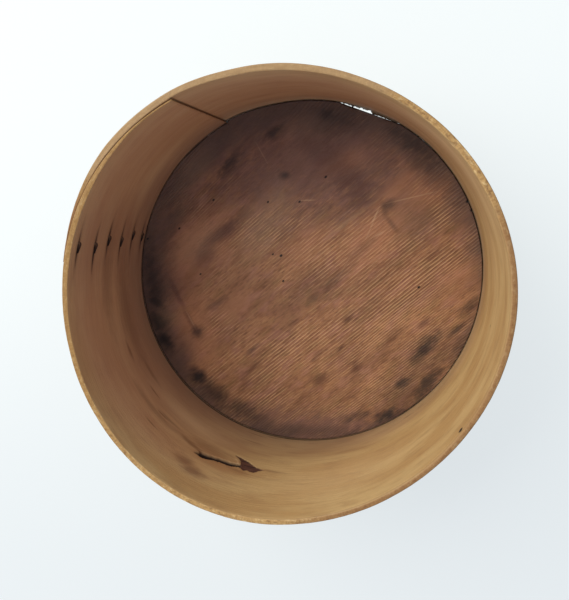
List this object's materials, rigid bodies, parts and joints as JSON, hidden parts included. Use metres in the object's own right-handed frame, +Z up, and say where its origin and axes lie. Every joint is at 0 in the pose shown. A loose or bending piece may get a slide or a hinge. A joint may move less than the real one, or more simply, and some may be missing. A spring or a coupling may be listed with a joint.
{
  "type": "round bentwood box",
  "caption": "Open round bentwood box: a thin strip bent round, lapped and tacked with clenched iron tacks, with a flat board let into its foot and pinned through the wall.",
  "frame": {"origin": "middle of the base board's underside, on the surface that the box stands on", "axes": "+Z up, out of the mouth; the board's grain runs 38.5 degrees from +X towards +Y, and the lap's inner end is 114.7 degrees from +X"},
  "size_m": [0.2409, 0.2428, 0.114],
  "materials": {
    "band_wood": "old hardwood, dry and darkened, worn pale on the rim",
    "board_wood": "old softwood with raised grain, dark and stained",
    "iron": "blackened wrought iron, rusted"
  },
  "bodies": {
    "root": {"side_band": "band_wood", "base_board": "board_wood", "lap_tack_1": "iron", "lap_tack_2": "iron", "lap_tack_3": "iron", "lap_tack_4": "iron", "lap_tack_5": "iron", "lap_tack_6": "iron", "base_brad_1": "iron", "base_brad_2": "iron", "base_brad_3": "iron", "base_brad_4": "iron", "base_brad_5": "iron", "base_brad_6": "iron", "base_brad_7": "iron", "base_brad_8": "iron", "base_brad_9": "iron", "base_brad_10": "iron", "base_brad_11": "iron", "base_brad_12": "iron", "base_brad_13": "iron", "base_brad_14": "iron"}
  },
  "joints": []
}
